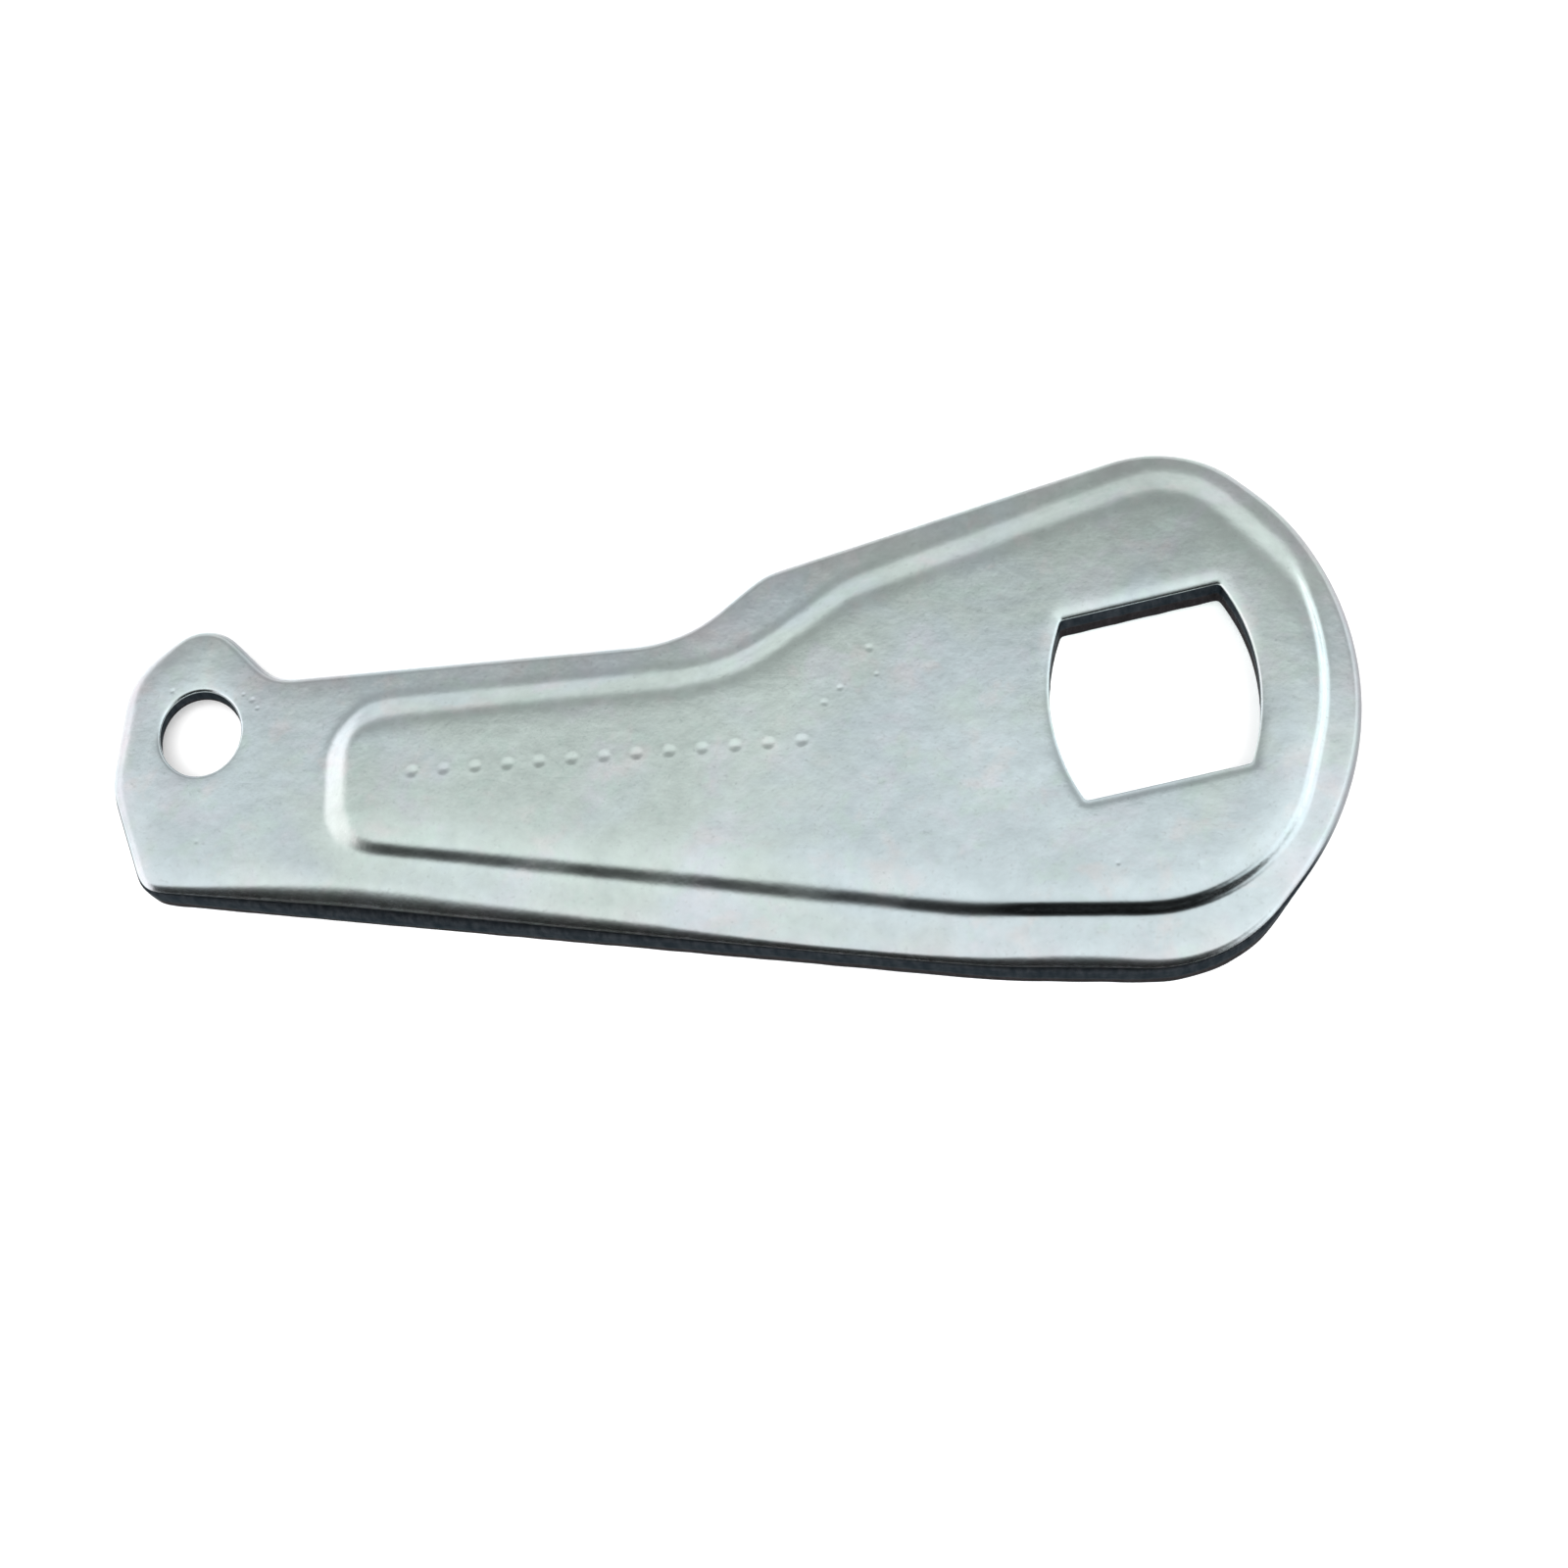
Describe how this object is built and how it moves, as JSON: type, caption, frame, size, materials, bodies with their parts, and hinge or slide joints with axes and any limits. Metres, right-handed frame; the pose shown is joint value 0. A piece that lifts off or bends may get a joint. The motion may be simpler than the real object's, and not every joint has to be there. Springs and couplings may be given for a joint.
{
  "type": "fire hydrant wrench",
  "caption": "Flat pressed-steel lever wrench with a flat-sided drive hole in a broad head, a raised panel that follows the outline, and a lanyard hole beside a small ear.",
  "frame": {"origin": "middle of the part's box, at the level of the underside", "axes": "+X from the lanyard end to the drive head, +Y across the wrench towards the side with the lanyard ear, +Z out of the raised face"},
  "size_m": [0.193, 0.086, 0.008],
  "materials": {
    "zinc_plated_steel": "bright zinc plate with a clear bluish passivation, fine satin grain"
  },
  "bodies": {
    "root": {"wrench_body": "zinc_plated_steel"}
  },
  "joints": []
}
